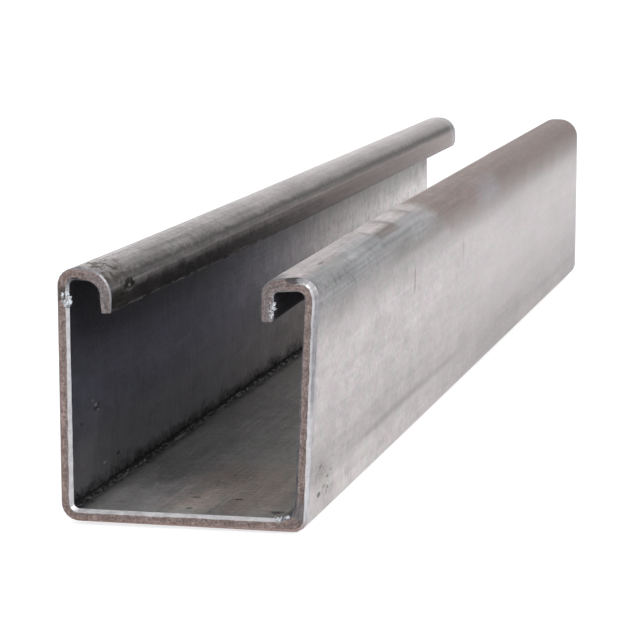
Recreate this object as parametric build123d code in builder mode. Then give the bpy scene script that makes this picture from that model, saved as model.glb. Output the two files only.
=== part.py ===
from build123d import *

# Plain-backed strut channel: one length of cold roll-formed steel strip.
#
# The strip is folded into a square trough that is open at the top. Its two edges turn inwards
# and down again as lips, which channel nuts hook behind. The back has no slots or holes, and
# both ends are sawn square and deburred.
#
# Frame: +Y runs along the channel, +Z points out of its open side, and the origin is the middle
# of the web's underside, halfway along. All sizes are in millimetres.

import os

# Driving dimensions
channel_length = 304.8  # sawn end to sawn end, a 12 inch piece
channel_width = 41.3  # outside to outside of the walls, 1 5/8 inch
channel_height = 41.3  # web underside to lip crown, 1 5/8 inch
sheet_thickness = 1.9  # 14 gauge strip
slot_width = 22.2  # clear opening between the lips, 7/8 inch
lip_depth = 7.1  # lip crown down to the strip's slit edge, 9/32 inch
corner_inside_radius = 1.0  # bend between web and wall
lip_inside_radius = 1.7  # each of the two bends that roll a lip
slit_edge_round = 0.35  # corners of the strip's slit edge, worn by the rolls
end_bevel = 0.55  # deburring bevel round both sawn ends, inside and out
least_flat = 0.1  # straight strip left between two bends that almost meet

# The fold line: the strip's outer face, from the right lip's edge round to the left lip's edge
half_width = channel_width / 2
half_slot = slot_width / 2
lip_width = half_width - half_slot
slit_edge_height = channel_height - lip_depth
right_half = [
    (half_slot, slit_edge_height),
    (half_slot, channel_height),
    (half_width, channel_height),
    (half_width, 0),
]
left_half = [(-x, z) for x, z in reversed(right_half)]

# Outside radii of the bends. A lip has two of them side by side, so its width limits them.
corner_radius = corner_inside_radius + sheet_thickness
lip_radius = min(lip_inside_radius + sheet_thickness, (lip_width - least_flat) / 2)
lip_bends = [lip_radius, lip_radius]
web_corners = [corner_radius, corner_radius]

with BuildPart() as strut_channel:
    # The section: the fold line with its bends, thickened towards the inside of the channel
    with BuildSketch(Plane.XZ.offset(-channel_length / 2)):
        with BuildLine():
            FilletPolyline(right_half + left_half, radius=lip_bends + web_corners + lip_bends)
            offset(amount=sheet_thickness, side=Side.RIGHT)
        make_face()
    extrude(amount=channel_length)

    # Deburr both sawn ends all round
    sawn_ends = strut_channel.faces().filter_by(Axis.Y)
    chamfer(sawn_ends.edges(), length=end_bevel)

    # Round the long corners of the strip's two slit edges, which look down into the channel
    upward_and_downward = strut_channel.faces().filter_by(Axis.Z)
    slit_edges = upward_and_downward.filter_by_position(
        Axis.Z, slit_edge_height - slit_edge_round, slit_edge_height + slit_edge_round
    )
    fillet(slit_edges.edges().filter_by(Axis.Y), radius=slit_edge_round)

strut_channel.part.label = "strut_channel"

os.makedirs("parts", exist_ok=True)
export_step(strut_channel.part, "parts/strut_channel.step")
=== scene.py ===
# %% [markdown]
# # A length of strut channel
#
# Strut channel starts as a flat steel strip. Rolls fold the strip into a square trough and curl
# both edges in and down, so that a channel nut can hook behind them. This lesson makes it in the
# same order: a flat strip with a real thickness, folded along a line by Geometry Nodes, then
# knocked about a little, and finished with the materials of bare mill steel.
#
# Everything is in metres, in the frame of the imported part: +Y along the channel, +Z out of its
# open side, and the origin under the middle of the web.

# %% Open the frame
import math

import bmesh
import bpy
import numpy as np
from mathutils import Matrix, Vector, noise


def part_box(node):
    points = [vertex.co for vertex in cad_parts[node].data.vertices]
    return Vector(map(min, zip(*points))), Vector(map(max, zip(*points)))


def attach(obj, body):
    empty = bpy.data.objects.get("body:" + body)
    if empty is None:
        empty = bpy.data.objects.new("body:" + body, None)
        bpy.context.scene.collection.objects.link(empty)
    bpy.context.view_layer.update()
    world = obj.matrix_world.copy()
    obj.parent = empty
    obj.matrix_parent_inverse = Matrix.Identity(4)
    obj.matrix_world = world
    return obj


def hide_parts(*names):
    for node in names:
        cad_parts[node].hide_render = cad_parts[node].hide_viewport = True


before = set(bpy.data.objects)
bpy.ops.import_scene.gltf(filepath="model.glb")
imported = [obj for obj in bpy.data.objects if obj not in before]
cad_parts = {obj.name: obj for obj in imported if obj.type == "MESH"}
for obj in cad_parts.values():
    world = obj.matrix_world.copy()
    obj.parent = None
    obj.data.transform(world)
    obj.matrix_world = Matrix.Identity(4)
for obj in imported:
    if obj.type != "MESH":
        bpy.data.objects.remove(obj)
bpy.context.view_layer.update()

NODE = "strut_channel"
low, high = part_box(NODE)
length = high.y - low.y
width = high.x - low.x
near_end = low.y
mm = 0.001
print(f"channel {width / mm:.1f} wide, {high.z / mm:.1f} high, {length / mm:.1f} long")

# %% [markdown]
# ## The stage
#
# Bare steel shows whatever is round it. So the floor and the world look white to the camera and in
# reflections, while the light that they throw on the object stays at a plain level. A brighter
# lamp could whiten the background too, but it would bleach the steel.

# %% Helpers for node trees
def new_tree(material):
    """Empties a material's tree and gives back the tree."""
    material.use_nodes = True
    material.node_tree.nodes.clear()
    return material.node_tree


def add(tree, kind, inputs=None, **settings):
    """Adds a node, sets its properties, and links or sets its inputs by name or by number."""
    node = tree.nodes.new(kind)
    for name, value in settings.items():
        setattr(node, name, value)
    for name, value in (inputs or {}).items():
        socket = node.inputs[name]
        if isinstance(value, bpy.types.NodeSocket):
            tree.links.new(value, socket)
        else:
            socket.default_value = value
    return node


def looked_at(tree):
    """1 where the camera sees this straight or in a mirror, and 0 where it only gives light."""
    path = add(tree, "ShaderNodeLightPath")
    rays = {0: path.outputs["Is Camera Ray"], 1: path.outputs["Is Glossy Ray"]}
    return add(tree, "ShaderNodeMath", rays, operation="MAXIMUM").outputs[0]


# %% The world
scene = bpy.context.scene
world = bpy.data.worlds.new("studio_world")
scene.world = world
tree = new_tree(world)
ambient_light = add(tree, "ShaderNodeBackground", {"Color": (0.92, 0.95, 1.0, 1), "Strength": 0.55})
backdrop_white = add(tree, "ShaderNodeBackground", {"Color": (1, 1, 1, 1), "Strength": 1.0})
either = add(tree, "ShaderNodeMixShader",
             {0: looked_at(tree), 1: ambient_light.outputs[0], 2: backdrop_white.outputs[0]})
add(tree, "ShaderNodeOutputWorld", {"Surface": either.outputs[0]})
print("world:", world.name)

# %% The floor
floor_reach = 3.0
floor_height = low.z - 0.6 * mm
floor_corners = [(x * floor_reach, y * floor_reach, floor_height)
                 for x, y in ((-1, -1), (1, -1), (1, 1), (-1, 1))]
floor_mesh = bpy.data.meshes.new("studio_floor")
floor_mesh.from_pydata(floor_corners, [], [(0, 1, 2, 3)])
floor = bpy.data.objects.new("studio_floor", floor_mesh)
scene.collection.objects.link(floor)
floor_paint = bpy.data.materials.new("floor_paint")
tree = new_tree(floor_paint)
matt = add(tree, "ShaderNodeBsdfDiffuse", {"Color": (0.8, 0.8, 0.8, 1)})
paleness = add(tree, "ShaderNodeEmission", {"Color": (1, 1, 1, 1), "Strength": 0.62})
nothing = add(tree, "ShaderNodeEmission", {"Strength": 0.0})
glow = add(tree, "ShaderNodeMixShader",
           {0: looked_at(tree), 1: nothing.outputs[0], 2: paleness.outputs[0]})
both = add(tree, "ShaderNodeAddShader", {0: matt.outputs[0], 1: glow.outputs[0]})
add(tree, "ShaderNodeOutputMaterial", {"Surface": both.outputs[0]})
floor_mesh.materials.append(floor_paint)
print(f"floor: {2 * floor_reach:.0f} m square, {-floor_height / mm:.1f} mm below the channel")

# %% The camera
camera_data = bpy.data.cameras.new("camera")
camera_data.lens = 156.75
camera_data.sensor_width = 36
camera = bpy.data.objects.new("camera", camera_data)
scene.collection.objects.link(camera)
view_azimuth = math.radians(12.975)
view_elevation = math.radians(8.739)
camera_roll = math.radians(-0.34)
camera_place = Vector((118.5 * mm, near_end - 418.9 * mm, 100.06 * mm))
backward = Vector((math.sin(view_azimuth) * math.cos(view_elevation),
                   -math.cos(view_azimuth) * math.cos(view_elevation),
                   math.sin(view_elevation)))
turn = backward.to_track_quat("Z", "Y").to_matrix() @ Matrix.Rotation(camera_roll, 3, "Z")
camera.matrix_world = Matrix.Translation(camera_place) @ turn.to_4x4()
scene.camera = camera
scene.view_settings.view_transform = "Standard"
print(f"camera: {camera_data.lens} mm lens, {camera_place.xy.length:.2f} m away")

# %% [markdown]
# ## The folded strip
#
# The strip is folded along a line that runs through the middle of its thickness. The line has
# eight corners: a lip's edge, two bends that roll the lip, a bend at the web, and the same again
# on the other side. Each corner knows its bend radius. The saw let the folded strip spring at the
# near end, so each corner also knows where it went there, and with what radius.
#
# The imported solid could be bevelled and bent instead, but its long triangles carry no cells to
# bend, and no distances for the marks on the steel to follow.

# %% The fold line
thickness = 1.9 * mm
slot = 22.2 * mm
lip_depth = 7.1 * mm
web_bend = 2.9 * mm
lip_bend = 4.1 * mm

inset = thickness / 2
wall_x = width / 2 - inset
lip_x = slot / 2 + inset
crown_z = high.z - inset
slit_z = high.z - 0.4 * mm - lip_depth
left_crown = crown_z - 0.15 * mm
right_crown = crown_z - 0.45 * mm
right_lean = 0.7 * mm

# Place in the section, and bend radius at the outer face; both again at the near end, in
# millimetres; and, there too, the bevel's width outside and inside, and the swelling of the cut
corners = [
    ((-lip_x, slit_z), 0, (-13.0, 33.9), 0, 0.20, 0.15, 0.0),
    ((-lip_x, left_crown), lip_bend, (-13.3, 39.95), 4.3, 0.25, 0.15, 0.0),
    ((-wall_x, left_crown), lip_bend, (-20.2, 40.05), 2.8, 0.22, 0.48, 0.0),
    ((-wall_x, inset), web_bend, (-19.85, 0.9), 2.9, 0.12, 0.60, 0.0),
    ((wall_x, inset), web_bend, (18.63, 0.95), 2.1, 0.45, 0.45, 0.12),
    ((wall_x + right_lean, right_crown), lip_bend * 1.1, (20.63, 39.7), 3.2, 0.85, 0.12, 0.14),
    ((lip_x, right_crown), lip_bend, (13.35, 39.25), 2.8, 0.25, 0.15, 0.12),
    ((lip_x, slit_z), 0, (13.35, 33.5), 0, 0.20, 0.45, 0.22),
]
places, bends, end_places, end_bends, outer_bevels, inner_bevels, end_swells = zip(*corners)
fold_mesh = bpy.data.meshes.new("fold_line")
fold_mesh.from_pydata([(x, 0, z) for x, z in places], [(i, i + 1) for i in range(len(places) - 1)], [])
corner_values = {
    "bend_radius": [max(bend - inset, 0) for bend in bends],
    "end_bend_radius": [max(bend * mm - inset, 0) for bend in end_bends],
    "outer_bevel": [wide * mm for wide in outer_bevels],
    "inner_bevel": [wide * mm for wide in inner_bevels],
    "end_swell": end_swells,
}
for name, values in corner_values.items():
    fold_mesh.attributes.new(name, "FLOAT", "POINT").data.foreach_set("value", values)
end_place = fold_mesh.attributes.new("end_place", "FLOAT_VECTOR", "POINT")
for (x, z), data in zip(end_places, end_place.data):
    data.vector = (x * mm, 0, z * mm)
channel = bpy.data.objects.new("folded_channel", fold_mesh)
scene.collection.objects.link(channel)
print("fold line:", len(corners), "corners")


# %% [markdown]
# The tree does what the rolls do. It makes the flat strip as a box with many cells, bevels its
# two sawn ends, and rounds its two slit edges. Then it lays each cell along the fold line: a
# point's distance across the strip says where on the line it goes, and its depth in the strip
# says how far it stands off the line. The three distances are stored, because the marks on the
# steel follow the strip, and not the room.

# %% A helper for sums made of nodes
class Sums:
    """Short names for the sums that a node tree is built from."""

    def __init__(self, tree):
        self.tree = tree

    def calc(self, operation, a, b=0.0, c=0.0, clamp=False):
        return add(self.tree, "ShaderNodeMath", {0: a, 1: b, 2: c}, operation=operation,
                   use_clamp=clamp).outputs[0]

    def times(self, first, *others):
        for other in others:
            first = self.calc("MULTIPLY", first, other)
        return first

    def plus(self, a, b):
        return self.calc("ADD", a, b)

    def minus(self, a, b):
        return self.calc("SUBTRACT", a, b)

    def line(self, value, slope, start, clamp=False):
        """The value times the slope, plus the start."""
        return self.calc("MULTIPLY_ADD", value, slope, start, clamp)

    def most(self, first, *others):
        for other in others:
            first = self.calc("MAXIMUM", first, other)
        return first

    def tell(self, what):
        print(f"{what}: the tree has {len(self.tree.nodes)} nodes so far")


# %% A helper for the geometry nodes
class Shape(Sums):
    """Short names for the geometry nodes that the strip is folded with."""

    def vector(self, operation, a, b=(0, 0, 0), scale=None):
        inputs = {0: a, 1: b} if scale is None else {0: a, "Scale": scale}
        return add(self.tree, "ShaderNodeVectorMath", inputs, operation=operation).outputs[0]

    def named(self, name, kind="FLOAT"):
        return add(self.tree, "GeometryNodeInputNamedAttribute", {"Name": name}, data_type=kind).outputs[0]

    def store(self, geometry, name, value, kind="FLOAT", domain="POINT"):
        return add(self.tree, "GeometryNodeStoreNamedAttribute",
                   {"Geometry": geometry, "Name": name, "Value": value}, data_type=kind,
                   domain=domain).outputs[0]

    def fillet(self, curve, radius):
        return add(self.tree, "GeometryNodeFilletCurve",
                   {"Curve": curve, "Count": bend_steps, "Radius": self.named(radius)},
                   mode="POLY").outputs[0]

    def sample(self, curve, factor, value=0.0):
        """A curve's position, tangent and value at a share of its length."""
        return add(self.tree, "GeometryNodeSampleCurve",
                   {"Curves": curve, "Factor": factor, "Value": value}, mode="FACTOR",
                   use_all_curves=True).outputs

    def from_start(self, value, whole):
        """A distance from the middle, as a share of the whole from its start."""
        return self.plus(self.calc("DIVIDE", value, whole), 0.5)


# %% The tree's inputs and the flat strip
layers = 8
bend_steps = 14
pinch_reach = 2.2 * mm
touching = 0.01 * mm
crisp_angle = math.radians(32)
fold_tree = bpy.data.node_groups.new("fold_strip", "GeometryNodeTree")
sockets = fold_tree.interface
sockets.new_socket("Geometry", in_out="INPUT", socket_type="NodeSocketGeometry")
for name, kind in (
    ("Length", "Float"), ("Thickness", "Float"), ("Steps Across", "Int"), ("Steps Along", "Int"),
    ("Bevel Wander", "Float"), ("Slit Round", "Float"), ("Tip Thinning", "Float"),
    ("Spring Reach", "Float"), ("Bow", "Float"), ("Twist", "Float"), ("Middle Height", "Float"),
    ("Rolled Steel", "Material"), ("Sawn Steel", "Material"), ("Filed Steel", "Material"),
):
    sockets.new_socket(name, in_out="INPUT", socket_type="NodeSocket" + kind)
sockets.new_socket("Geometry", in_out="OUTPUT", socket_type="NodeSocketGeometry")
given = fold_tree.nodes.new("NodeGroupInput").outputs
g = Shape(fold_tree)

# The two fold lines, with their bends rounded: the whole length's, and the near end's
line = add(fold_tree, "GeometryNodeMeshToCurve", {"Mesh": given["Geometry"]}).outputs[0]
body_line = g.fillet(line, "bend_radius")
moved = add(fold_tree, "GeometryNodeSetPosition",
            {"Geometry": line, "Position": g.named("end_place", "FLOAT_VECTOR")}).outputs[0]
end_line = g.fillet(moved, "end_bend_radius")
strip_width = add(fold_tree, "GeometryNodeCurveLength", {"Curve": body_line}).outputs[0]

# The flat strip, several layers deep
size = add(fold_tree, "ShaderNodeCombineXYZ", {0: strip_width, 1: given["Length"], 2: given["Thickness"]})
strip = add(fold_tree, "GeometryNodeMeshCube",
            {"Size": size.outputs[0], "Vertices X": given["Steps Across"],
             "Vertices Y": given["Steps Along"], "Vertices Z": layers}).outputs[0]
flat_place = add(fold_tree, "GeometryNodeInputPosition").outputs[0]
across, along, through = add(fold_tree, "ShaderNodeSeparateXYZ", {0: flat_place}).outputs
half_length = g.times(given["Length"], 0.5)
half_width = g.times(strip_width, 0.5)
half_thick = g.times(given["Thickness"], 0.5)
g.tell("flat strip")

# %% [markdown]
# The deepest row of faces at each end is the cut, and the outer rows are its bevel. The layers
# crowd into the bevel's depth, and the last rows step back by what is left of it, so the bevel
# is as wide as each corner says and wanders a little in between.

# %% The bevels and the slit edges
# Faces: 1 on a sawn end, 2 on its bevel, 0 elsewhere
bevel_wave = add(fold_tree, "ShaderNodeTexNoise",
                 {"Vector": g.vector("SCALE", flat_place, scale=520.0), "Scale": 1.0,
                  "Detail": 3.0}).outputs[0]
factor = g.from_start(across, strip_width)
inner_bevel = g.sample(body_line, factor, g.named("inner_bevel"))["Value"]
outer_bevel = g.sample(body_line, factor, g.named("outer_bevel"))["Value"]
outside = g.calc("GREATER_THAN", through, 0.0)
bevel = add(fold_tree, "ShaderNodeMix", {0: outside, 2: inner_bevel, 3: outer_bevel}).outputs[0]
bevel = g.times(bevel, g.line(g.minus(bevel_wave, 0.5), given["Bevel Wander"], 1.0))
at_end = g.calc("GREATER_THAN", g.calc("ABSOLUTE", along), g.minus(half_length, touching))
outer_layers = g.calc("GREATER_THAN", g.calc("ABSOLUTE", through),
                      g.times(half_thick, 1 / (layers - 1)))
zone = g.times(at_end, g.plus(1.0, outer_layers))
strip = g.store(strip, "zone", zone, domain="FACE")

# The bevel
from_skin = g.minus(1.0, g.calc("DIVIDE", g.calc("ABSOLUTE", through), half_thick))
share = g.calc("DIVIDE", from_skin, (layers - 2) / (layers - 1), clamp=True)
depth_in = g.times(bevel, share)
layer = g.times(g.calc("SIGN", through), g.minus(half_thick, depth_in))
step_back = g.times(at_end, g.minus(bevel, depth_in))
# Grade the cells: shorter near the end that is looked at
run = g.from_start(along, given["Length"])
graded = g.times(run, g.line(run, 0.4, 0.6))
placed = g.times(g.minus(graded, 0.5), given["Length"])
placed = g.minus(placed, g.times(g.calc("SIGN", along), step_back))
# Round the slit edges
at_slit = g.calc("GREATER_THAN", g.calc("ABSOLUTE", across), g.minus(half_width, touching))
slit_round = given["Slit Round"]
short = g.most(g.minus(slit_round, depth_in), 0.0)
rise = g.calc("SQRT", g.minus(g.times(slit_round, slit_round), g.times(short, short)))
tuck = g.times(at_slit, g.minus(slit_round, rise))
reach_across = g.minus(across, g.times(g.calc("SIGN", across), tuck))

# The rolls pinched the strip's two edges a little thinner
pinch = g.minus(g.calc("ABSOLUTE", across), g.minus(half_width, pinch_reach))
pinch = g.times(g.calc("DIVIDE", pinch, pinch_reach, clamp=True), given["Tip Thinning"])
layer = g.times(layer, g.minus(1.0, pinch))

strip = g.store(strip, "across", reach_across)
strip = g.store(strip, "along", placed)
strip = g.store(strip, "through", layer)
across, along, through = g.named("across"), g.named("along"), g.named("through")
g.tell("bevels and slit edges")

# %% [markdown]
# Now each point goes to its place on both lines, and the near end's line counts for less and
# less along the channel. The whole piece also gets a slight bow and a slight twist.

# %% Lay the strip along the lines
factor = g.from_start(across, strip_width)
body = g.sample(body_line, factor)
end = g.sample(end_line, factor, g.named("end_swell"))
spring = g.calc("EXPONENT",
                g.calc("DIVIDE", g.plus(along, half_length), g.times(given["Spring Reach"], -1.0)))

def blend(socket):
    return add(fold_tree, "ShaderNodeMix", {"Factor": spring, 4: body[socket], 5: end[socket]},
               data_type="VECTOR").outputs[1]

outward = g.vector("NORMALIZE", g.vector("CROSS_PRODUCT", (0, 1, 0), blend("Tangent")))
# The saw upset the cut end of the right side, and left it a little thicker
offset = g.vector("SCALE", outward, scale=g.times(through, g.line(end["Value"], spring, 1.0)))
place = g.vector("ADD", blend("Position"), offset)
# A long piece is never quite straight
run = g.from_start(along, given["Length"])
arch = g.times(run, g.minus(1.0, run), g.times(given["Bow"], 4.0))
push = add(fold_tree, "ShaderNodeCombineXYZ", {0: arch, 1: along, 2: 0.0}).outputs[0]
place = g.vector("ADD", place, push)
centre = add(fold_tree, "ShaderNodeCombineXYZ", {0: 0.0, 1: 0.0, 2: given["Middle Height"]}).outputs[0]
angle = g.times(g.minus(run, 0.5), given["Twist"])
place = add(fold_tree, "ShaderNodeVectorRotate",
            {"Vector": place, "Center": centre, "Axis": (0, 1, 0), "Angle": angle},
            rotation_type="AXIS_ANGLE").outputs[0]
folded = add(fold_tree, "GeometryNodeSetPosition", {"Geometry": strip, "Position": place}).outputs[0]
# The fold turned the strip inside out, so its faces are turned round
folded = add(fold_tree, "GeometryNodeFlipFaces", {"Mesh": folded}).outputs[0]

# Crisp edges round the sawn ends, smooth everywhere else
edge_angle = add(fold_tree, "GeometryNodeInputMeshEdgeAngle").outputs[0]
crisp = g.calc("GREATER_THAN", edge_angle, crisp_angle)
folded = g.store(folded, "sharp_edge", crisp, kind="BOOLEAN", domain="EDGE")
folded = add(fold_tree, "GeometryNodeRealizeInstances", {"Geometry": folded}).outputs[0]
folded = add(fold_tree, "GeometryNodeSetMaterial",
             {"Geometry": folded, "Material": given["Rolled Steel"]}).outputs[0]
for zone_number, name in ((1, "Sawn Steel"), (2, "Filed Steel")):
    here = add(fold_tree, "FunctionNodeCompare",
               {0: g.named("zone"), 1: float(zone_number), "Epsilon": 0.5}, data_type="FLOAT",
               operation="EQUAL")
    folded = add(fold_tree, "GeometryNodeSetMaterial",
                 {"Geometry": folded, "Selection": here.outputs[0],
                  "Material": given[name]}).outputs[0]
add(fold_tree, "NodeGroupOutput", {"Geometry": folded})
g.tell("folded and painted")


# %% [markdown]
# ## Bare mill steel
#
# Every mark on rolled steel follows the strip. The rolls leave bands and fine streaks along it,
# oil and handling leave brown and dark films, and only the brush marks run across. So the colour
# is built from the three stored distances, in millimetres, and is the same from every side.

# %% A helper for the shader trees
class Steel(Sums):
    """Short names for the shader nodes that the steel is built from."""

    def distance(self, name):
        """A stored distance, in millimetres."""
        metres = add(self.tree, "ShaderNodeAttribute", attribute_name=name).outputs["Fac"]
        return self.times(metres, 1000.0)

    def vector(self, x, y, z):
        return add(self.tree, "ShaderNodeCombineXYZ", {0: x, 1: y, 2: z}).outputs[0]

    def noise(self, vector, scale=1.0, detail=3.0, rough=0.55, warp=0.0):
        """Noise with a mean of zero, about -0.5 to 0.5."""
        node = add(self.tree, "ShaderNodeTexNoise",
                   {"Vector": vector, "Scale": scale, "Detail": detail, "Roughness": rough,
                    "Distortion": warp})
        return self.minus(node.outputs["Fac"], 0.5)

    def step(self, value, start, end):
        """0 at start, 1 at end, smooth between. Start may be above end."""
        low, high, from_low, to_low = (start, end, 0.0, 1.0) if start < end else (end, start, 1.0, 0.0)
        node = add(self.tree, "ShaderNodeMapRange",
                   {"Value": value, "From Min": low, "From Max": high, "To Min": from_low,
                    "To Max": to_low}, interpolation_type="SMOOTHSTEP")
        return node.outputs[0]

    def band(self, value, start, end, soft):
        """1 between start and end, and 0 outside, with soft edges."""
        return self.times(self.step(value, start - soft, start + soft),
                          self.step(value, end + soft, end - soft))

    def spot(self, across, along, place, half, wobble=0.0):
        """1 inside an ellipse on the strip, with soft edges that the wobble makes ragged."""
        x = self.line(across, 1 / half[0], -place[0] / half[0])
        y = self.line(along, 1 / half[1], -place[1] / half[1])
        far = self.line(x, x, self.times(y, y))
        return self.step(self.plus(far, wobble), 1.3, 0.6)

    def ramp(self, value, low, high, stops):
        """A curve of greys through (value, grey) stops."""
        place = add(self.tree, "ShaderNodeMapRange", {"Value": value, "From Min": low, "From Max": high})
        node = add(self.tree, "ShaderNodeValToRGB", {0: place.outputs[0]})
        points = node.color_ramp.elements
        node.color_ramp.interpolation = "B_SPLINE"
        for number, (at, grey) in enumerate(stops):
            point = points[number] if number < 2 else points.new(1.0)
            point.position = (at - low) / (high - low)
            point.color = (grey, grey, grey, 1)
        return node.outputs[0]

    def mix(self, amount, a, b):
        """Blends two colours."""
        node = add(self.tree, "ShaderNodeMix", {0: amount, 6: a, 7: b}, data_type="RGBA")
        return node.outputs[2]

    def scale(self, colour, amount):
        """A colour made lighter or darker."""
        return add(self.tree, "ShaderNodeVectorMath", {0: colour, "Scale": amount},
                   operation="SCALE").outputs[0]

    def shade(self, colour, where, amount):
        """A colour made lighter, or darker by a negative amount, in one place."""
        return self.scale(colour, self.line(where, amount, 1.0))

    def tint(self, colour, by):
        return add(self.tree, "ShaderNodeVectorMath", {0: colour, 1: by}, operation="MULTIPLY").outputs[0]

    def finish(self, colour, roughness, height, depth):
        """The finished shader, with a bump of the given depth in metres."""
        bump = add(self.tree, "ShaderNodeBump", {"Height": height, "Distance": depth, "Strength": 1.0})
        shader = add(self.tree, "ShaderNodeBsdfPrincipled",
                     {"Base Color": colour, "Metallic": 0.9, "Roughness": roughness,
                      "Specular Tint": (0.55, 0.55, 0.55, 1), "Normal": bump.outputs[0]})
        add(self.tree, "ShaderNodeOutputMaterial", {"Surface": shader.outputs[0]})


# %% [markdown]
# The rolled faces. Two curves of grey give the bands on the outside and on the inside of the
# strip, from the left lip to the right one. Films, scuffs, scratches and specks are laid over
# them. The inside is darker, most of all by the near end: painted shade inside the trough.

# %% The bands and the single marks
outside_bands = [
    (-69, 0.22), (-67, 0.22), (-66.2, 0.25), (-65.5, 0.31), (-64.9, 0.27), (-64.3, 0.29), (-63.3, 0.38),
    (-62.4, 0.47), (-60, 0.60), (-55, 0.52), (-47, 0.56),
    (-35, 0.59), (-24, 0.51), (-17, 0.46), (0, 0.50), (17, 0.46), (22, 0.50), (26, 0.45), (31, 0.54),
    (38, 0.59), (45, 0.61), (49, 0.56), (52.5, 0.40), (56, 0.36), (58.5, 0.44), (61, 0.47),
    (64, 0.39), (66, 0.41), (69, 0.30),
]
# Specks low on the right wall: place (across, along), half size, and how dark
foot_specks = [
    ((22.6, -144.8), (0.42, 1.2), 0.75), ((22.7, -138.9), (0.20, 0.7), 0.60),
    ((24.6, -139.3), (0.26, 0.9), 0.60), ((27.3, -144.3), (0.26, 1.0), 0.45),
    ((27.3, -135.8), (0.15, 0.5), 0.45), ((23.4, -141.4), (0.18, 0.9), 0.40),
    ((26.2, -147.4), (0.25, 0.6), 0.40), ((25.3, -137.2), (0.15, 0.8), 0.50),
]
# Nicks inside, by the near end: place (across, along), half size, and whether it is a pale one
inside_nicks = [
    ((-34.2, -138.9), (0.60, 2.0), False), ((-34.6, -139.3), (0.36, 1.0), True),
    ((-33.6, -138.2), (0.22, 0.6), True), ((-35.6, -141.0), (0.16, 0.6), True),
    ((-32.7, -147.0), (0.28, 0.9), False), ((-24.1, -127.5), (0.28, 1.0), False),
    ((-23.9, -134.9), (0.20, 0.8), True), ((-10.9, -130.9), (0.35, 0.9), True),
    ((5.9, -139.7), (0.55, 0.6), False), ((14.5, -148.0), (1.1, 1.0), False),
    ((-1.5, -139.6), (0.65, 0.45), False), ((-0.4, -147.8), (0.55, 0.4), False),
    ((0.4, -121.5), (0.22, 0.6), False), ((-0.5, -130.0), (0.25, 0.5), False),
]
# The inside's greys are kept dark as painted shade inside the trough
inside_bands = [
    (-69, 0.25), (-62, 0.15), (-55, 0.11), (-49, 0.10), (-45, 0.19), (-41, 0.29), (-30, 0.33), (-23, 0.30),
    (-19, 0.26), (-14, 0.32), (-6, 0.38), (4, 0.35), (12, 0.29), (17, 0.24), (20, 0.20), (25, 0.28),
    (40, 0.31), (52, 0.26), (62, 0.16), (69, 0.25),
]
print("bands:", len(outside_bands), "greys outside and", len(inside_bands), "inside")
print("single marks:", len(foot_specks), "specks and", len(inside_nicks), "nicks")

# %% Noise that follows the strip
rolled_steel = bpy.data.materials.new("rolled_steel")
g = Steel(new_tree(rolled_steel))
across, along, through = (g.distance(name) for name in ("across", "along", "through"))
outside = g.calc("GREATER_THAN", through, 0.0)
inside = g.minus(1.0, outside)
side = g.times(through, 20.0)
streaks = g.noise(g.vector(g.times(across, 1.6), g.times(along, 0.035), side))
broad_streaks = g.noise(g.vector(g.times(across, 0.35), g.times(along, 0.012), side))
clouds = g.noise(g.vector(g.times(across, 0.09), g.times(along, 0.055), side), detail=4.0, warp=0.6)
grain = g.noise(g.vector(across, along, side), scale=1.1, detail=5.0, rough=0.7)
mottle = g.noise(g.vector(across, g.times(along, 0.55), side), scale=0.32, detail=5.0, rough=0.65,
                 warp=0.8)
brushing = g.noise(g.vector(g.times(across, 0.10), g.times(along, 0.95), side), detail=4.0, rough=0.55)
g.tell("noise")

# %% [markdown]
# The bands change along the strip. The near part of the left roll is darker, the far half of
# the inside is lighter, so that the painted shade inside the trough is deepest by the near cut,
# and a dark seam runs under the left lip's crown. By the near end the whole lip below the seam
# is black with painted shadow, and the front of the web has painted light.

# %% Bands of grey
outer = g.ramp(across, -70, 70, outside_bands)
inner = g.ramp(across, -70, 70, inside_bands)
near_left_roll = g.times(g.step(across, -57, -61), g.step(along, 60, -140))
outer = g.shade(outer, near_left_roll, -0.25)
nearness = g.step(along, 60, -120)
lip_wander = g.line(grain, g.times(nearness, 0.7), across)
lip_wander = g.line(mottle, g.line(nearness, 1.2, 0.8), lip_wander)
far_lip = g.times(g.step(lip_wander, -65.2, -65.8), g.step(along, -110, 60))
outer = g.mix(g.times(far_lip, 0.9), outer, (0.42, 0.39, 0.385, 1))
# Painted shadow on the left lip below the seam, darkest by the near cut
under_lip_shadow = g.times(g.step(lip_wander, -65.7, -67.3), g.step(along, 30, -110))
under_lip_shadow = g.calc("MULTIPLY", under_lip_shadow, g.line(mottle, -0.95, 0.96), clamp=True)
outer = g.shade(outer, under_lip_shadow, -0.76)
seam = g.band(lip_wander, -65.2, -64.3, 0.5)
outer = g.shade(outer, seam, -0.48)
worn_edge = g.step(g.plus(grain, mottle), -0.06, 0.10)
worn_edge = g.times(worn_edge, g.band(across, -69.4, -68.9, 0.15))
worn_edge = g.times(worn_edge, g.step(along, 0, -75))
outer = g.mix(g.times(worn_edge, 0.6), outer, (0.50, 0.50, 0.50, 1))
outer = g.scale(outer, g.line(g.step(along, -150, 20), 0.08, 0.95))
# The far half of the inside is painted lighter, and the near part is left in painted shade
far_inside = g.step(along, -85, 45)
lift = g.line(g.step(across, -34, -42), 1.1, 0.70)
inner = g.scale(inner, g.line(far_inside, lift, 0.95))
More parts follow.
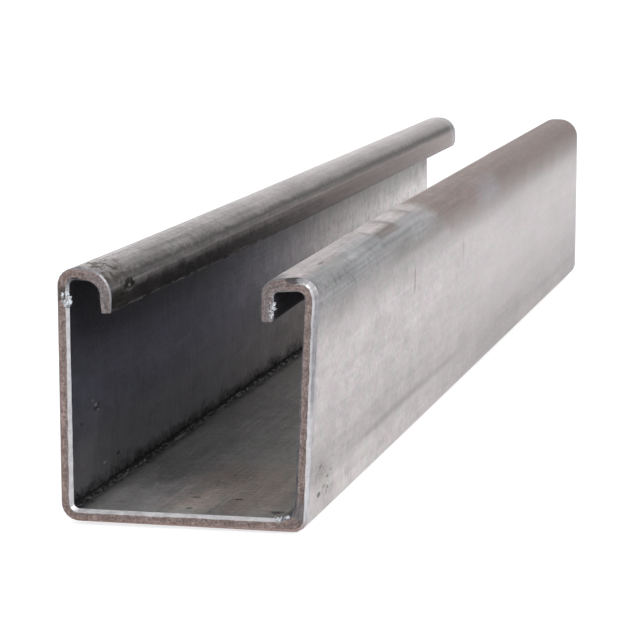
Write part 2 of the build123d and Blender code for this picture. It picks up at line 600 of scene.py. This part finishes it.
# Painted light on the front of the web, by the near cut
web_front_light = g.times(g.band(across, -17, 3, 4.0), g.step(along, -118, -146))
inner = g.shade(inner, web_front_light, 1.0)
foot = g.line(g.step(along, 20, -135), 0.36, -0.10)
foot = g.times(foot, g.band(across, 17, 25, 1.5))
outer = g.scale(outer, g.plus(foot, 1.0))
outer = g.tint(outer, (1.05, 0.99, 0.988))
low_grey = g.step(across, -38, -26)
near_tint = g.mix(low_grey, (0.93, 0.95, 1.20, 1), (0.98, 0.98, 1.07, 1))
inner = g.tint(inner, g.mix(far_inside, near_tint, (1.04, 0.99, 0.98, 1)))
on_web = g.band(across, -18, 18, 1.5)
web_tint = g.mix(far_inside, (1.07, 1.05, 0.93, 1), (0.99, 1.0, 1.0, 1))
inner = g.mix(on_web, inner, g.tint(inner, web_tint))
colour = g.mix(outside, inner, outer)
g.tell("bands")

# %% [markdown]
# A brown film lies along the upper right wall, from a curved edge to the far end. Its edge is a
# parabola that noise makes uneven. A painted highlight lies along the crest above it, and a
# brown patch on the web.

# %% The brown film
past_bend = g.most(g.minus(across, 58.5), 0.0)
bow = g.line(g.times(past_bend, past_bend), -0.12, along)
film_edge = g.line(clouds, 16.0, bow)
uneven = g.line(clouds, 4.0, g.line(mottle, 2.5, across))
below = g.most(g.minus(57.5, across), 0.0)
film_edge = g.line(below, -3.0, film_edge)
film = g.times(g.step(uneven, 48.5, 56.5), g.step(film_edge, -57, -45))
film = g.times(film, outside)
colour = g.mix(g.times(film, 0.80), colour, (0.270, 0.208, 0.190, 1))
# A painted highlight along the right roll's crown
crest_highlight = g.times(g.band(across, 62.4, 65.0, 0.5), g.step(along, -50, -25))
crest_highlight = g.times(crest_highlight, outside)
colour = g.mix(g.times(crest_highlight, 0.5), colour, (0.56, 0.54, 0.53, 1))
patch = g.times(g.band(across, -5, 15, 4.0), g.band(along, -149, -114, 7.0))
patch = g.times(patch, g.step(mottle, -0.3, 0.12))
patch = g.times(patch, inside)
colour = g.mix(g.times(patch, 0.9), colour, g.tint(colour, (1.16, 1.0, 0.93)))
g.tell("brown film")

# %% [markdown]
# The near part of the right bend is scuffed blue-grey, under a crisp edge. The creases run over
# the crown above it, with painted shade in each fold and a painted highlight on each ridge. Two
# pale painted sheens lie on the bend.

# %% Scuffs and creases on the right bend
scuff_noise = g.line(broad_streaks, 1.6, g.line(mottle, 1.0, grain))
scuffs = g.times(g.step(across, 52.0, 55.5), g.step(across, 59.1, 58.5))
scuffs = g.times(scuffs, g.step(along, -50, -72))
scuffs = g.times(scuffs, g.step(scuff_noise, -0.45, 0.1))
scuffs = g.times(scuffs, outside)
colour = g.mix(g.times(scuffs, 0.75), colour, (0.315, 0.322, 0.335, 1))
spot = g.times(g.band(across, 53.0, 57.4, 1.8), g.band(along, 0, 24, 9.0))
colour = g.mix(g.times(spot, outside, 0.4), colour, (0.46, 0.47, 0.53, 1))
on_crown = g.times(g.step(across, 58.2, 59.4), outside)
fold_line = g.line(mottle, 7.0, g.line(streaks, 2.0, bow))
short_fold = g.times(g.band(fold_line, -98.0, -96.6, 1.0), g.step(across, 61.2, 60.2))
fold_shade = g.most(short_fold, g.band(fold_line, -81.5, -79.0, 2.0))
fold_shade = g.most(fold_shade, g.band(fold_line, -63.5, -61.5, 1.8))
ridge_highlight = g.most(g.band(fold_line, -94.5, -84.0, 3.0), g.band(fold_line, -77, -67.5, 3.0))
ridge_highlight = g.most(ridge_highlight, g.band(fold_line, -58.5, -51.0, 1.5))
# Painted shade in the creases' folds and a painted highlight on their ridges
colour = g.shade(colour, g.times(fold_shade, on_crown), -0.34)
colour = g.shade(colour, g.times(ridge_highlight, on_crown), 0.10)
crown_film = g.times(on_crown, g.step(along, -20, -60))
colour = g.mix(crown_film, colour, g.tint(colour, (0.995, 0.975, 0.975)))
low_edge = g.line(clouds, 3.0, g.line(mottle, 1.5, across))
olive = g.times(g.band(low_edge, 52.6, 55.6, 0.9), g.band(along, -92, -40, 9.0))
colour = g.mix(g.times(olive, outside, 0.42), colour, (0.24, 0.222, 0.20, 1))
strokes = g.noise(g.vector(g.times(across, 0.7), g.line(across, 0.8, g.times(along, 0.8)), 3.0))
rubbed = g.times(g.band(across, 53.5, 58.3, 1.0), g.step(along, -85, -115))
rubbed = g.times(rubbed, outside, g.step(strokes, 0.02, 0.16))
colour = g.mix(g.times(rubbed, 0.5), colour, (0.15, 0.155, 0.17, 1))
rust_edge = g.line(mottle, 1.6, across)
rust = g.times(g.band(rust_edge, 57.6, 58.9, 0.5), g.band(fold_line, -95.5, -78, 2.5))
colour = g.mix(g.times(rust, outside, 0.6), colour, (0.20, 0.158, 0.143, 1))
# Two pale painted sheens on the right bend
sheen_a = g.times(g.band(across, 56.5, 60.8, 1.0), g.band(along, -122, -99, 3.0))
sheen_b = g.times(g.band(across, 54.8, 58.2, 1.2), g.band(along, -72, -50, 4.0))
sheens = g.times(g.most(sheen_a, sheen_b), outside)
colour = g.mix(g.times(sheens, 0.45), colour, (0.44, 0.45, 0.47, 1))
g.tell("right bend")

# %% [markdown]
# The saw caught the right lip and left a dark gouge, and there is a pit beside the left lip's
# end, painted dark as shade with a painted highlight on its lip. The left roll is stained and
# pitted brown for its first centimetre.

# %% Gouge, pit and stains by the near cut
gouge_edge = g.line(mottle, 5.0, along)
gouge = g.times(g.step(across, 61.0, 63.0), g.step(gouge_edge, -145.0, -148.5))
gouge = g.times(gouge, outside)
# The pit is painted dark as shade, with a painted highlight on its lip
pit_shade = g.times(g.spot(across, along, (-66.1, -142.4), (0.75, 3.0), g.times(grain, 3.0)), outside)
pit_highlight = g.spot(across, along, (-66.2, -141.8), (0.22, 0.6), g.times(grain, 2.0))
dash = g.spot(across, along, (59.4, -134.8), (0.22, 2.0), g.times(grain, 1.5))
# Near black in the gouge and the dash, and painted shade in the pit
hollows = g.most(g.times(gouge, 0.6), pit_shade)
hollows = g.most(hollows, g.times(dash, outside, 0.55))
colour = g.mix(hollows, colour, (0.025, 0.024, 0.025, 1))
colour = g.mix(g.times(pit_highlight, outside, 0.8), colour, (0.62, 0.62, 0.60, 1))
rough_end = g.times(g.step(across, -57, -58.5), g.step(gouge_edge, -133, -148))
flakes = g.noise(g.vector(g.times(across, 0.8), g.times(along, 0.34), side), detail=5.0, rough=0.7,
                 warp=0.5)
rough_end = g.times(rough_end, g.times(outside, g.step(flakes, -0.03, 0.07)))
colour = g.mix(g.times(rough_end, 0.85), colour, (0.10, 0.089, 0.075, 1))
flaky = g.times(near_left_roll, g.step(flakes, 0.0, 0.10))
colour = g.scale(colour, g.line(g.times(flaky, outside), -0.34, 1.07))
# A dark, blue-grey skin right beside the near cut
by_cut = g.times(g.step(gouge_edge, -149.0, -151.8), outside)
colour = g.mix(g.times(by_cut, 0.55), colour, g.tint(colour, (0.76, 0.765, 0.83)))
g.tell("gouge, pit and stains")

# %% [markdown]
# The noises go over the colour as one factor, round one. Each is stronger where the steel is
# rougher: on the bends, near the cut and on the web. The far right wall is calm.

# %% Texture on the colour
on_bends = g.step(g.calc("ABSOLUTE", across), 52, 57)
strong = g.times(on_bends, g.line(nearness, 0.9, 0.15))
strong = g.times(strong, g.line(on_crown, -0.5, 1.0))
wear = g.times(streaks, g.plus(strong, 0.22))
wear = g.line(clouds, 0.26, g.plus(wear, 1.0))
gritty = g.line(near_left_roll, 0.45, g.line(on_web, 0.5, 0.62))
wear = g.line(flakes, g.times(near_left_roll, 1.1), wear)
wear = g.line(grain, gritty, wear)
wear = g.line(mottle, g.line(nearness, 0.24, 0.28), wear)
wear = g.line(broad_streaks, 0.30, wear)
wear = g.line(flakes, g.times(on_crown, 0.8), wear)
brushed = g.times(inside, g.line(far_inside, 0.15, 0.42))
blotchy = g.times(inside, g.line(far_inside, 0.60, 0.10))
wear = g.line(mottle, blotchy, wear)
wear = g.line(brushing, g.plus(brushed, 0.06), wear)
far_wall = g.times(g.band(across, 27, 56, 3.0), g.step(along, -90, 60))
calm = g.line(g.times(far_wall, outside), -0.5, 1.0)
wear = g.line(g.minus(wear, 1.0), calm, 1.0)
colour = g.scale(colour, wear)
tints = g.noise(g.vector(across, g.times(along, 0.5), g.plus(side, 5.0)), scale=0.7, detail=4.0,
                rough=0.6)
colour = g.tint(colour, g.mix(g.step(tints, -0.14, 0.14), (1.035, 0.985, 1.01, 1),
                              (0.975, 1.01, 0.975, 1)))
g.tell("texture")

# %% [markdown]
# There is one long scratch low on the right wall, with a light lip, and two short ones run down
# the wall. Noise bends their edges, so that they don't look ruled.

# %% Scratches
wander = g.line(broad_streaks, 0.6, across)
long_scratch = g.times(g.band(wander, 25.6, 26.4, 0.7), g.band(along, -115, -25, 7.0))
light_lip = g.times(g.band(wander, 24.2, 25.0, 0.4), g.band(along, -118, -40, 7.0))
slip = g.line(grain, 1.2, along)
down_scratch = g.times(g.band(slip, -70.9, -69.9, 0.5), g.band(across, 45.0, 49.5, 1.0))
faint = g.times(g.band(slip, -19.5, -17.5, 0.9), g.band(across, 44.5, 48.5, 1.2))
marks = g.most(g.times(long_scratch, 0.28), g.times(down_scratch, 0.5))
marks = g.most(marks, g.times(faint, 0.2))
marks = g.times(marks, outside)
colour = g.mix(marks, colour, (0.14, 0.118, 0.115, 1))
colour = g.mix(g.times(light_lip, outside, 0.3), colour, (0.6, 0.6, 0.6, 1))
g.tell("scratches")

# %% [markdown]
# A cluster of dark specks sits low on the right wall by the near cut, and a few more are inside.
# Noise alone makes them too even, so the larger ones have places of their own.

# %% Specks and nicks
speckle = g.noise(g.vector(across, along, side), scale=1.5, detail=2.0, rough=0.5)
fine = g.noise(g.vector(across, along, side), scale=2.6, detail=4.0, rough=0.7)
slant = g.line(along, 0.55, across)
low_corner = g.times(g.band(slant, -57.5, -50.5, 2.5), g.band(along, -149, -134, 3.5))
low_corner = g.times(low_corner, outside)
specks = g.times(g.step(g.line(mottle, 0.4, fine), 0.04, 0.16), low_corner)
few = g.times(g.step(speckle, 0.235, 0.26), 0.5)
pepper = g.times(g.step(fine, 0.15, 0.20), g.times(on_web, inside))
few = g.most(few, g.times(pepper, g.step(along, -70, -140)))
specks = g.most(g.times(specks, 0.6), few)
ragged_spot = g.line(speckle, 5.0, g.times(fine, 3.0))
for place, half, dark in foot_specks:
    speck = g.times(g.spot(across, along, place, half, ragged_spot), outside)
    specks = g.most(specks, g.times(speck, dark))
smudges = g.times(low_corner, g.step(g.plus(mottle, grain), -0.10, 0.22))
colour = g.mix(g.times(smudges, 0.5), colour, (0.27, 0.245, 0.22, 1))
colour = g.mix(specks, colour, (0.06, 0.058, 0.055, 1))
g.tell("specks")

# %% [markdown]
# Black grime and painted shade fill the two inside corners of the web, and the grime spills out
# in flecks. The left inner wall has dark nicks, some with a pale middle, and the far end has a
# painted glint along its rim.

# %% Grime and painted corner shade, nicks, and the far rim's painted glint
corner = g.calc("ABSOLUTE", across)
flecks = g.noise(g.vector(g.times(across, 1.2), g.times(along, 0.5), 9.0), detail=4.0, rough=0.65)
core = g.band(g.line(mottle, 1.8, corner), 19.7, 20.6, 0.3)
ragged = g.line(grain, 4.0, g.line(mottle, 5.0, corner))
blobs = g.times(g.band(ragged, 18.2, 20.7, 0.4), g.step(flecks, -0.10, 0.0))
grime_and_corner_shade = g.times(g.most(core, blobs), inside)
# Darker round the inside corners: grime and painted shade
corner_dirt_and_shade = g.times(g.band(ragged, 17.3, 22.0, 1.0), inside)
colour = g.shade(colour, corner_dirt_and_shade, -0.60)
colour = g.mix(g.times(grime_and_corner_shade, 0.95), colour, (0.02, 0.0195, 0.02, 1))
wobble = g.times(grain, 2.5)
dark_nicks, pale_nicks = 0.0, 0.0
for place, half, is_pale in inside_nicks:
    nick = g.spot(across, along, place, half, wobble if is_pale else ragged_spot)
    if is_pale:
        pale_nicks = g.most(pale_nicks, nick)
    else:
        dark_nicks = g.most(dark_nicks, nick)
colour = g.mix(g.times(dark_nicks, inside, 0.72), colour, (0.02, 0.02, 0.02, 1))
nicks = g.times(pale_nicks, inside)
# A painted glint along the far end's rim and the left lip's far corner
lip_end_glint = g.times(g.step(across, -60.5, -62.5), g.step(along, 144.0, 148.0))
far_rim_glint = g.most(g.step(along, 149.9, 150.9), g.times(lip_end_glint, 0.5))
far_rim_glint = g.times(far_rim_glint, outside)
pale = g.most(g.times(nicks, 0.8), g.times(far_rim_glint, 0.5))
colour = g.mix(pale, colour, (0.74, 0.76, 0.80, 1))
g.tell("grime, nicks and rim")

# %% [markdown]
# Oil and dirt are duller than the bare steel. A fine bump gives the streaks and the brush marks
# their relief, as real marks do; it is too shallow to be worth moving the surface for.

# %% How rough it is, and the relief of the finest marks
roughness = g.line(clouds, 0.18, g.line(outside, 0.08, 0.40))
roughness = g.line(streaks, 0.14, roughness)
roughness = g.line(grime_and_corner_shade, 0.35, roughness)
relief = g.times(brushing, g.line(inside, 0.2, 0.08))
relief = g.line(grain, 0.8, g.line(streaks, 0.6, relief))
relief = g.times(relief, calm)
relief = g.line(grime_and_corner_shade, 0.1, relief)
relief = g.line(marks, -1.2, relief)
g.finish(colour, roughness, relief, 0.06 * mm)
g.tell("rolled steel")


# %% [markdown]
# The flat of the cut is a dull brown-grey, speckled, and scored by the saw. Its outer skin is
# browner, and the lips lie greyer. Painted shade darkens it round the burr lump by the left bend.
# The bevel round it is filed, with painted glints, so it is a steel of its own.

# %% The sawn ends
sawn_steel = bpy.data.materials.new("sawn_steel")
g = Steel(new_tree(sawn_steel))
across, through = g.distance("across"), g.distance("through")
place = add(g.tree, "ShaderNodeTexCoord").outputs["Object"]
spots = g.noise(place, scale=2600.0, detail=4.0, rough=0.75)
blotches = g.noise(place, scale=420.0, detail=4.0, rough=0.6)
saw_lines = g.noise(g.vector(g.times(across, 0.4), 0.0, g.times(through, 7.0)), detail=3.0)
colour = g.mix(g.step(spots, -0.16, 0.16), (0.165, 0.122, 0.112, 1), (0.325, 0.262, 0.246, 1))
skin = g.step(through, 0.1, 0.75)
colour = g.mix(g.times(skin, 0.5), colour, g.tint(colour, (1.0, 0.84, 0.78)))
on_lips = g.step(g.calc("ABSOLUTE", across), 59, 65)
colour = g.mix(g.times(on_lips, 0.75), colour, g.tint(colour, (0.86, 0.99, 1.08)))
grey_corner = g.band(g.line(blotches, 3.0, across), 19.3, 22.8, 0.9)
colour = g.mix(g.times(grey_corner, 0.8), colour, (0.15, 0.145, 0.15, 1))
# Painted shade on the cut round the burr lump by the left bend
burr_shade = g.band(g.line(blotches, 5.0, across), -56.2, -53.9, 0.5)
colour = g.mix(g.times(burr_shade, 0.7), colour, (0.045, 0.04, 0.04, 1))
middle = g.calc("ABSOLUTE", g.line(blotches, 1.2, through))
colour = g.scale(colour, g.line(g.step(middle, 0.45, 0.1), -0.16, 1.04))
colour = g.shade(colour, blotches, 1.5)
colour = g.shade(colour, saw_lines, 0.7)
relief = g.line(blotches, 1.0, g.line(spots, 0.6, saw_lines))
g.finish(colour, g.line(blotches, 0.3, 0.52), relief, 0.10 * mm)
g.tell("sawn steel")

# %% [markdown]
# The bevel is filed steel, painted bright as a glint where it faces the light: inside on the left
# wall and the web, outside on the right wall. It stays dark grey on the rolls and on the left wall
# outside. A thin painted glint runs beside the cut, and fainter ones lie on the right bend and
# the left lip.

# %% The filed bevels
filed_steel = bpy.data.materials.new("filed_steel")
g = Steel(new_tree(filed_steel))
across, along, through = (g.distance(name) for name in ("across", "along", "through"))
place = add(g.tree, "ShaderNodeTexCoord").outputs["Object"]
spots = g.noise(place, scale=900.0, detail=4.0, rough=0.65)
patches = g.noise(g.vector(g.times(across, 0.28), 0.0, g.times(through, 4.0)))
inside = g.step(through, 0.2, -0.2)
# Painted glint on the filed bevel inside, on the left wall and the web, where it faces the light
glint_inside = g.times(inside, g.step(across, 17.6, 15.8))
glint_inside = g.times(glint_inside, g.step(across, -57.5, -54.5))
outside = g.minus(1.0, inside)
# Painted glint on the filed bevel outside, on the right wall, and fainter ones on the right bend and the
# left lip
glint_outside = g.times(outside, g.band(across, 17, 59.5, 2.0))
bend_glint = g.times(outside, g.band(across, 54, 60, 1.5))
lip_glint = g.times(outside, g.band(across, -67.5, -63.8, 0.7))
bend_glint = g.most(bend_glint, lip_glint)
low_wall = g.band(g.line(patches, 5.0, across), 20.5, 38.0, 3.0)
filed = g.times(glint_outside, g.line(low_wall, 0.65, 0.14))
filed = g.line(glint_inside, 0.90, filed)
filed = g.line(bend_glint, 0.16, filed)
# The gouged top of the right lip was left dark
dull_top = g.band(g.line(patches, 3.0, across), 59.5, 64.5, 0.8)
dull_top = g.times(dull_top, outside)
filed = g.line(dull_top, -0.35, filed)
filed = g.line(patches, 0.6, g.plus(filed, 0.12), clamp=True)
border = g.line(patches, 0.25, along)
# A thin painted glint beside the cut
edge_glint = g.times(glint_outside, g.step(border, -152.08, -152.2))
filed = g.line(edge_glint, 0.5, filed, clamp=True)
bright = g.mix(g.step(patches, -0.1, 0.1), (0.56, 0.535, 0.56, 1), (0.54, 0.545, 0.55, 1))
colour = g.mix(filed, (0.20, 0.193, 0.205, 1), bright)
crack = g.band(g.line(patches, 4.0, across), 59.6, 61.3, 0.35)
crack = g.times(crack, outside)
colour = g.mix(g.times(crack, 0.85), colour, (0.05, 0.045, 0.045, 1))
under_web = g.times(outside, g.band(across, -19.5, 19.5, 1.0))
colour = g.mix(under_web, colour, (0.34, 0.26, 0.245, 1))
colour = g.shade(colour, spots, 0.9)
g.finish(colour, g.line(spots, 0.2, 0.36), spots, 0.07 * mm)
g.tell("filed steel")

# %% [markdown]
# The tree now goes on the fold line, gets its sizes and materials, and leaves a plain mesh. The
# cells are small enough for the bends and the marks' edges, and few enough for one light piece.

# %% Fold the strip
modifier = channel.modifiers.new("fold", "NODES")
modifier.node_group = fold_tree
settings = {
    "Length": length, "Thickness": thickness, "Steps Across": 233, "Steps Along": 190,
    "Bevel Wander": 0.7, "Slit Round": 0.35 * mm, "Tip Thinning": 0.14, "Spring Reach": 60 * mm,
    "Bow": -0.1 * mm, "Twist": -0.0155, "Middle Height": high.z / 2,
    "Rolled Steel": rolled_steel, "Sawn Steel": sawn_steel, "Filed Steel": filed_steel,
}
for item in modifier.node_group.interface.items_tree:
    if item.in_out == "INPUT" and item.name in settings:
        modifier[item.identifier] = settings[item.name]
evaluated = channel.evaluated_get(bpy.context.evaluated_depsgraph_get())
steel_mesh = bpy.data.meshes.new_from_object(evaluated)
channel.modifiers.clear()
channel.data = steel_mesh
steel_mesh.name = "folded_channel"
if steel_mesh.materials[0] is None:
    steel_mesh.materials.pop(index=0)
print("folded channel:", len(steel_mesh.polygons), "faces,", [m.name for m in steel_mesh.materials])

# %% [markdown]
# ## Wear
#
# Rolled strip is never quite true. Low swells run along it, the saw and a knock left two hollows,
# and the right lip has three creases over its crown, each a ridge with a hollow beside it. All of
# them move the whole thickness by a few tenths of a millimetre. They could be sculpted by hand,
# but a sum of smooth bumps is easier to read and to change.

# %% Swells, hollows and creases
# Across, along, half width across, half width along, push outwards: all in millimetres
swells = [
    (56.3, -82, 2.4, 14, 0.18),
    (60.8, 62, 3.0, 5.0, 0.14),
    (47.0, -70, 3.2, 1.2, 0.10),
    (35.0, 40, 9.0, 16, 0.16),
    (60.5, -151.5, 1.0, 2.2, -0.35),
    (-66.2, -142.4, 0.6, 2.0, -0.28),
    (-61.5, 20, 3.0, 9.0, 0.12),
    (-44.0, 66, 7.0, 12, 0.14),
]
# Creases that run over the right lip's crown: along, half width along, push outwards
creases = [(-97, 1.6, 0.14), (-90, 3.0, -0.08), (-80, 1.8, 0.22), (-72, 3.5, -0.10), (-62, 1.9, 0.20),
           (-56, 2.6, -0.08)]
crease_start = 58.3
crease_bow = 0.12
cut_at = length / mm / 2
clear_of_cut = 1.0


def stored(name):
    """A stored distance at every vertex, in millimetres."""
    values = np.zeros(len(steel_mesh.vertices))
    steel_mesh.attributes[name].data.foreach_get("value", values)
    return values / mm


def vertex_rows(what):
    """The vertices' places or normals, one row each."""
    rows = np.zeros(len(steel_mesh.vertices) * 3)
    steel_mesh.vertices.foreach_get(what, rows)
    return rows.reshape(-1, 3)


def move_to(place):
    steel_mesh.vertices.foreach_set("co", place.ravel())
    steel_mesh.update()


def push_surface():
    """Moves both skins of the strip the same way at each swell, hollow and crease."""
    across, along, through = stored("across"), stored("along"), stored("through")
    push = np.zeros(len(across))
    for at_across, at_along, wide, long, height in swells:
        push += height * np.exp(-(((across - at_across) / wide) ** 2) - ((along - at_along) / long) ** 2)
    past = np.maximum(across - crease_start, 0)
    bowed = along - crease_bow * past * past
    for at_along, long, height in creases:
        push += height * np.clip(past, 0, 1) * np.exp(-(((bowed - at_along) / long) ** 2))
    between_cuts = np.abs(along) < cut_at - clear_of_cut
    skin = np.where(through > 0, 1.0, -1.0)
    move_to(vertex_rows("co") + vertex_rows("normal") * (push * between_cuts * skin * mm)[:, None])
    print(f"surface: deepest hollow {push.min():.2f} mm, highest ridge {push.max():.2f} mm")


push_surface()

# %% [markdown]
# Two places are rounder than the fold leaves them. Swarf was pressed into the right inner corner
# of the web, next to the near cut. At the far end, the corners of the lips' edges are worn. Both
# pull the vertices beyond an arc back onto it, because a bevel would need an edge to follow.

# %% The filled corner and the worn corners
nearly_nothing = 0.1


def fill_corner():
    """Rounds the right inner corner of the web, most of all by the near cut."""
    inner_wall, inner_web = 18.75, 1.9
    wall_spring, web_spring, spring_reach = 1.16, 0.12, 60
    fill_radius, fill_reach, least_radius = 1.9, 22, 0.2
    fade_end, fade_depth = 0.95, 0.4
    place = vertex_rows("co")
    along, through = stored("along"), stored("through")
    from_end = (along * mm - near_end) / mm
    spring = np.exp(-from_end / spring_reach)
    radius = fill_radius * np.exp(-((from_end / fill_reach) ** 2)) + least_radius
    centre_x = inner_wall - wall_spring * spring - radius
    centre_z = inner_web + web_spring * spring + radius
    x, z = place[:, 0] / mm - centre_x, centre_z - place[:, 2] / mm
    depth = through + thickness / mm / 2
    wanted = radius + depth
    far = np.hypot(x, z)
    in_corner = (x > 0) & (z > 0) & (far > wanted) & (through < 0)
    fade = np.clip((fade_end - depth) / fade_depth, 0, 1)
    pull = in_corner * fade * (1 - wanted / np.maximum(far, nearly_nothing))
    place[:, 0] -= x * pull * mm
    place[:, 2] += z * pull * mm
    move_to(place)
    print(f"corner filled by up to {(pull * far).max():.2f} mm")


def wear_far_corners(radius):
    """Rounds the far corners of the lips' edges."""
    place = vertex_rows("co")
    across, along = stored("across"), stored("along")
    from_edge = radius - (np.abs(across).max() - np.abs(across))
    from_end = radius - (cut_at - along)
    far = np.hypot(from_edge, from_end)
    beyond = (from_edge > 0) & (from_end > 0) & (far > radius)
    pull = beyond * (1 - radius / np.maximum(far, nearly_nothing))
    place[:, 1] -= from_end * pull * mm
    place[:, 2] += from_edge * pull * mm
    move_to(place)
    print(f"far corners worn by up to {(pull * far).max():.2f} mm")


fill_corner()
wear_far_corners(2.1)

# %% [markdown]
# The saw tore small burrs out of the edge where it entered and left. Each is a lump of crumbs,
# folded over the end: by the left bend, on the right lip, and at the foot of the right wall. A
# burr has no rule to follow, so each crumb is a small ball that noise makes ragged, and its place
# is drawn from a fixed seed. The lump by the left bend is torn open in the middle.

# %% Burrs
# Place in the section, spread, number of crumbs, largest crumb's radius, all in millimetres, and
# how much of the middle is left open
burr_groups = [
    ((-19.55, 36.2), (0.68, 1.2), 46, 0.60, 0.52),
    ((14.15, 35.7), (0.35, 1.7), 30, 0.54, 0.0),
    ((15.1, 1.85), (0.55, 0.25), 8, 0.36, 0.0),
    ((16.5, 2.15), (0.12, 0.12), 3, 0.50, 0.0),
]
chance = np.random.default_rng(7)
burr_shape = bmesh.new()
for (x, z), (spread_x, spread_z), number, largest, opening in burr_groups:
    for _ in range(number):
        radius = largest * chance.uniform(0.35, 1.0)
        aside, up = np.clip(chance.normal(0, 0.6, 2), -1, 1)
        outwards = 1 - opening + opening / max(np.hypot(aside, up), 0.01)
        aside, up = aside * outwards, up * outwards
        spot = Vector((x + aside * spread_x, 0, z + up * spread_z))
        spot.y = near_end / mm + 0.25 * radius + chance.uniform(0, 0.2)
        made = bmesh.ops.create_icosphere(burr_shape, subdivisions=3, radius=1.0)["verts"]
        turn = Matrix.Rotation(chance.uniform(0, 6.3), 3, "Y")
        stretch = Vector((1.0, 0.45, 0.55)) * radius
        for vertex in made:
            rough = 1 + 0.7 * noise.noise(vertex.co * 1.7 + spot * 3)
            rough += 0.25 * noise.noise(vertex.co * 5 + spot)
            vertex.co = (spot + turn @ (vertex.co * stretch * rough)) * mm
burr_mesh = bpy.data.meshes.new("saw_burrs")
burr_shape.to_mesh(burr_mesh)
burr_shape.free()
burrs = bpy.data.objects.new("saw_burrs", burr_mesh)
scene.collection.objects.link(burrs)
for polygon in burr_mesh.polygons:
    polygon.use_smooth = True
burr_steel = bpy.data.materials.new("burr_steel")
g = Steel(new_tree(burr_steel))
spots = g.noise(add(g.tree, "ShaderNodeTexCoord").outputs["Object"], scale=1400.0, detail=4.0, rough=0.7)
g.finish(g.mix(g.step(spots, -0.2, 0.12), (0.2, 0.18, 0.18, 1), (0.66, 0.69, 0.73, 1)),
        g.line(spots, 0.3, 0.35), spots, 0.08 * mm)
burr_mesh.materials.append(burr_steel)
crumbs = sum(number for _, _, number, _, _ in burr_groups)
print(f"burrs: {crumbs} crumbs, {len(burr_mesh.polygons)} faces")

# %% [markdown]
# ## Light
#
# Bare steel is seen mostly by what it mirrors. Two large soft boxes, one in front on the right
# and one behind on the left, give the long gradients along the walls. A small lamp would draw a
# hard bright line on every bend instead.

# %% Lights
def soft_box(name, place, aim, size, power, colour=(1, 1, 1)):
    lamp = bpy.data.lights.new(name, "AREA")
    lamp.shape = "RECTANGLE"
    lamp.size, lamp.size_y = size
    lamp.energy = power
    lamp.color = colour
    stand = bpy.data.objects.new(name, lamp)
    scene.collection.objects.link(stand)
    stand.location = place
    stand.rotation_euler = (Vector(place) - Vector(aim)).to_track_quat("Z", "Y").to_euler()


middle = (0, 0, high.z / 2)
soft_box("key_box", (0.9, -0.9, 1.1), middle, (0.8, 0.8), 7)
soft_box("back_box", (-0.8, 1.0, 0.9), middle, (0.8, 0.8), 4, (0.95, 0.97, 1.0))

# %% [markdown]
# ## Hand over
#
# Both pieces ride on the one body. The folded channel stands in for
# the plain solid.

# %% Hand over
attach(channel, "root")
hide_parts(NODE)
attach(burrs, "root")
